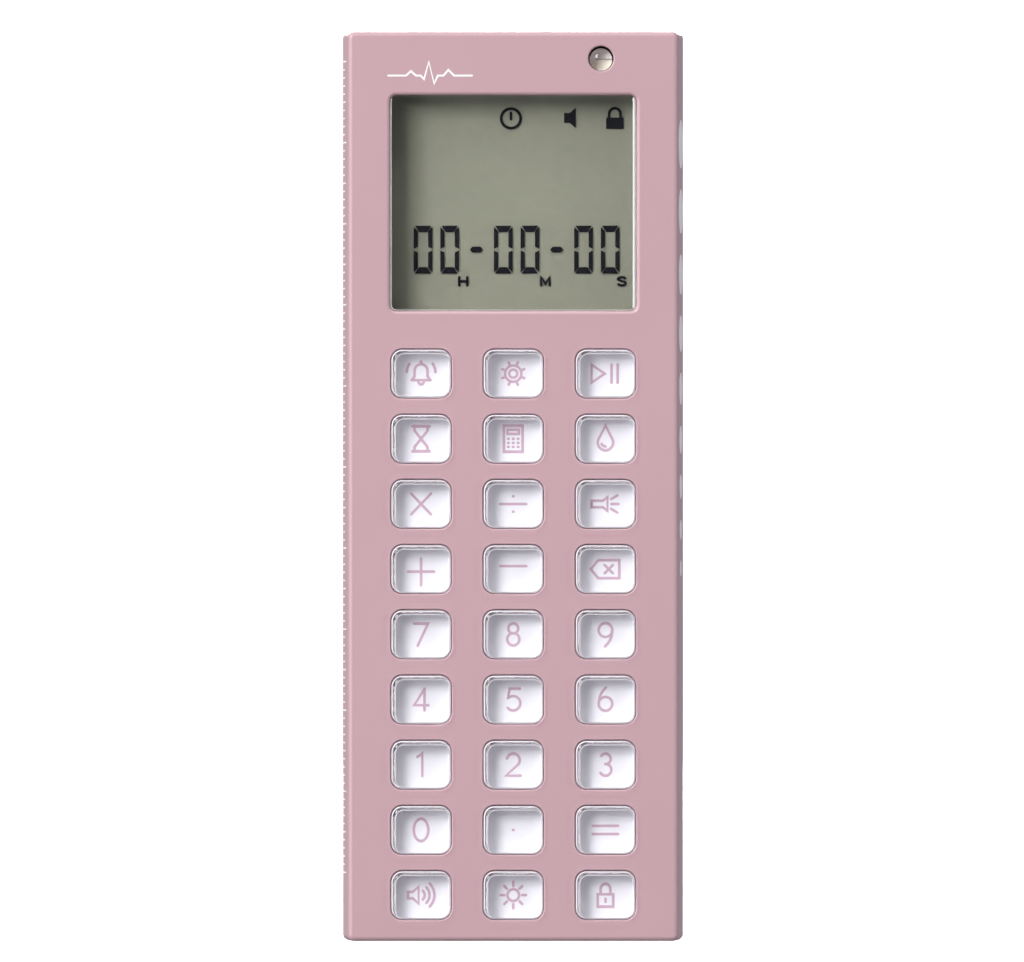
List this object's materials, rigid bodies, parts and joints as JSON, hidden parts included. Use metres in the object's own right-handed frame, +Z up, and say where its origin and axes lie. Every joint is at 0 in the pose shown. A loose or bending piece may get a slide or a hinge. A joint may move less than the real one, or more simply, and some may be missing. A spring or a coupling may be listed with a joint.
{
  "type": "pocket timer calculator",
  "caption": "Slim pink nurse's pocket timer and calculator with a tall keypad of clear keys, an LCD, a torch LED, buzzer, vibration motor and coin cell behind a twist cap.",
  "frame": {"origin": "middle of the bottom end, on the surface that the upright handset stands on", "axes": "+X to the right as the keys are seen, +Y from the front face to the back, +Z up the handset towards the display"},
  "size_m": [0.042, 0.0118, 0.112],
  "materials": {
    "shell_pink": "satin moulded ABS, dusty pink",
    "clear_key": "polished clear acrylic over a white base",
    "silicone": "matt silicone",
    "clear_lens": "polished clear acrylic",
    "clear_led": "clear epoxy dome",
    "dark_rubber": "matt",
    "lcd": "grey-green liquid crystal behind a satin polariser",
    "white_plastic": "satin",
    "led_phosphor": "matt",
    "board_green": "solder mask over glass-fibre board",
    "chip_black": "cured epoxy",
    "steel": "nickel-plated",
    "contact_gold": "gold-plated spring bronze",
    "brass": "plain",
    "ceramic": "silvered piezo ceramic",
    "lead_red": "insulation",
    "lead_black": "insulation"
  },
  "bodies": {
    "handset": {"front_case": "shell_pink", "rear_case": "shell_pink", "keypad_mat": "silicone", "window_lens": "clear_lens", "torch_led": "clear_led", "window_gasket": "dark_rubber", "motor_boot": "dark_rubber", "battery_seal": "dark_rubber", "zebra_strip": "dark_rubber", "lcd_glass": "lcd", "lcd_frame": "white_plastic", "backlight_panel": "white_plastic", "backlight_led": "led_phosphor", "main_board": "board_green", "controller_chip": "chip_black", "clock_crystal": "steel", "coin_cell": "steel", "vibration_motor": "steel", "case_screw_1": "steel", "case_screw_2": "steel", "case_screw_3": "steel", "case_screw_4": "steel", "positive_contact": "contact_gold", "negative_contact": "contact_gold", "buzzer_disc": "brass", "buzzer_ceramic": "ceramic", "motor_lead_1": "lead_red", "buzzer_lead_1": "lead_red", "motor_lead_2": "lead_black", "buzzer_lead_2": "lead_black"},
    "battery_cap": {"battery_cap": "shell_pink"},
    "motor_weight": {"motor_weight": "steel"},
    "key_alarm": {"key_alarm": "clear_key"},
    "key_set": {"key_set": "clear_key"},
    "key_start_stop": {"key_start_stop": "clear_key"},
    "key_timer": {"key_timer": "clear_key"},
    "key_calculator": {"key_calculator": "clear_key"},
    "key_drip": {"key_drip": "clear_key"},
    "key_multiply": {"key_multiply": "clear_key"},
    "key_divide": {"key_divide": "clear_key"},
    "key_torch": {"key_torch": "clear_key"},
    "key_plus": {"key_plus": "clear_key"},
    "key_minus": {"key_minus": "clear_key"},
    "key_clear": {"key_clear": "clear_key"},
    "key_7": {"key_7": "clear_key"},
    "key_8": {"key_8": "clear_key"},
    "key_9": {"key_9": "clear_key"},
    "key_4": {"key_4": "clear_key"},
    "key_5": {"key_5": "clear_key"},
    "key_6": {"key_6": "clear_key"},
    "key_1": {"key_1": "clear_key"},
    "key_2": {"key_2": "clear_key"},
    "key_3": {"key_3": "clear_key"},
    "key_0": {"key_0": "clear_key"},
    "key_point": {"key_point": "clear_key"},
    "key_equals": {"key_equals": "clear_key"},
    "key_volume": {"key_volume": "clear_key"},
    "key_backlight": {"key_backlight": "clear_key"},
    "key_lock": {"key_lock": "clear_key"}
  },
  "joints": [
    {"name": "battery_cap_turn", "type": "hinge", "parent": "handset", "child": "battery_cap", "pos_m": [0, 0.0059, 0.03], "axis": [0, 1, 0], "range_deg": [0, 45]},
    {"name": "motor_spin", "type": "hinge", "parent": "handset", "child": "motor_weight", "pos_m": [0.005, 0.00265, 0.058], "axis": [1, 0, 0], "continuous": true},
    {"name": "key_alarm_press", "type": "slide", "parent": "handset", "child": "key_alarm", "axis": [0, 1, 0], "range_m": [0, 0.0006], "stiffness_N_per_m": 1200, "springref_m": -0.0001},
    {"name": "key_set_press", "type": "slide", "parent": "handset", "child": "key_set", "axis": [0, 1, 0], "range_m": [0, 0.0006], "stiffness_N_per_m": 1200, "springref_m": -0.0001},
    {"name": "key_start_stop_press", "type": "slide", "parent": "handset", "child": "key_start_stop", "axis": [0, 1, 0], "range_m": [0, 0.0006], "stiffness_N_per_m": 1200, "springref_m": -0.0001},
    {"name": "key_timer_press", "type": "slide", "parent": "handset", "child": "key_timer", "axis": [0, 1, 0], "range_m": [0, 0.0006], "stiffness_N_per_m": 1200, "springref_m": -0.0001},
    {"name": "key_calculator_press", "type": "slide", "parent": "handset", "child": "key_calculator", "axis": [0, 1, 0], "range_m": [0, 0.0006], "stiffness_N_per_m": 1200, "springref_m": -0.0001},
    {"name": "key_drip_press", "type": "slide", "parent": "handset", "child": "key_drip", "axis": [0, 1, 0], "range_m": [0, 0.0006], "stiffness_N_per_m": 1200, "springref_m": -0.0001},
    {"name": "key_multiply_press", "type": "slide", "parent": "handset", "child": "key_multiply", "axis": [0, 1, 0], "range_m": [0, 0.0006], "stiffness_N_per_m": 1200, "springref_m": -0.0001},
    {"name": "key_divide_press", "type": "slide", "parent": "handset", "child": "key_divide", "axis": [0, 1, 0], "range_m": [0, 0.0006], "stiffness_N_per_m": 1200, "springref_m": -0.0001},
    {"name": "key_torch_press", "type": "slide", "parent": "handset", "child": "key_torch", "axis": [0, 1, 0], "range_m": [0, 0.0006], "stiffness_N_per_m": 1200, "springref_m": -0.0001},
    {"name": "key_plus_press", "type": "slide", "parent": "handset", "child": "key_plus", "axis": [0, 1, 0], "range_m": [0, 0.0006], "stiffness_N_per_m": 1200, "springref_m": -0.0001},
    {"name": "key_minus_press", "type": "slide", "parent": "handset", "child": "key_minus", "axis": [0, 1, 0], "range_m": [0, 0.0006], "stiffness_N_per_m": 1200, "springref_m": -0.0001},
    {"name": "key_clear_press", "type": "slide", "parent": "handset", "child": "key_clear", "axis": [0, 1, 0], "range_m": [0, 0.0006], "stiffness_N_per_m": 1200, "springref_m": -0.0001},
    {"name": "key_7_press", "type": "slide", "parent": "handset", "child": "key_7", "axis": [0, 1, 0], "range_m": [0, 0.0006], "stiffness_N_per_m": 1200, "springref_m": -0.0001},
    {"name": "key_8_press", "type": "slide", "parent": "handset", "child": "key_8", "axis": [0, 1, 0], "range_m": [0, 0.0006], "stiffness_N_per_m": 1200, "springref_m": -0.0001},
    {"name": "key_9_press", "type": "slide", "parent": "handset", "child": "key_9", "axis": [0, 1, 0], "range_m": [0, 0.0006], "stiffness_N_per_m": 1200, "springref_m": -0.0001},
    {"name": "key_4_press", "type": "slide", "parent": "handset", "child": "key_4", "axis": [0, 1, 0], "range_m": [0, 0.0006], "stiffness_N_per_m": 1200, "springref_m": -0.0001},
    {"name": "key_5_press", "type": "slide", "parent": "handset", "child": "key_5", "axis": [0, 1, 0], "range_m": [0, 0.0006], "stiffness_N_per_m": 1200, "springref_m": -0.0001},
    {"name": "key_6_press", "type": "slide", "parent": "handset", "child": "key_6", "axis": [0, 1, 0], "range_m": [0, 0.0006], "stiffness_N_per_m": 1200, "springref_m": -0.0001},
    {"name": "key_1_press", "type": "slide", "parent": "handset", "child": "key_1", "axis": [0, 1, 0], "range_m": [0, 0.0006], "stiffness_N_per_m": 1200, "springref_m": -0.0001},
    {"name": "key_2_press", "type": "slide", "parent": "handset", "child": "key_2", "axis": [0, 1, 0], "range_m": [0, 0.0006], "stiffness_N_per_m": 1200, "springref_m": -0.0001},
    {"name": "key_3_press", "type": "slide", "parent": "handset", "child": "key_3", "axis": [0, 1, 0], "range_m": [0, 0.0006], "stiffness_N_per_m": 1200, "springref_m": -0.0001},
    {"name": "key_0_press", "type": "slide", "parent": "handset", "child": "key_0", "axis": [0, 1, 0], "range_m": [0, 0.0006], "stiffness_N_per_m": 1200, "springref_m": -0.0001},
    {"name": "key_point_press", "type": "slide", "parent": "handset", "child": "key_point", "axis": [0, 1, 0], "range_m": [0, 0.0006], "stiffness_N_per_m": 1200, "springref_m": -0.0001},
    {"name": "key_equals_press", "type": "slide", "parent": "handset", "child": "key_equals", "axis": [0, 1, 0], "range_m": [0, 0.0006], "stiffness_N_per_m": 1200, "springref_m": -0.0001},
    {"name": "key_volume_press", "type": "slide", "parent": "handset", "child": "key_volume", "axis": [0, 1, 0], "range_m": [0, 0.0006], "stiffness_N_per_m": 1200, "springref_m": -0.0001},
    {"name": "key_backlight_press", "type": "slide", "parent": "handset", "child": "key_backlight", "axis": [0, 1, 0], "range_m": [0, 0.0006], "stiffness_N_per_m": 1200, "springref_m": -0.0001},
    {"name": "key_lock_press", "type": "slide", "parent": "handset", "child": "key_lock", "axis": [0, 1, 0], "range_m": [0, 0.0006], "stiffness_N_per_m": 1200, "springref_m": -0.0001}
  ]
}
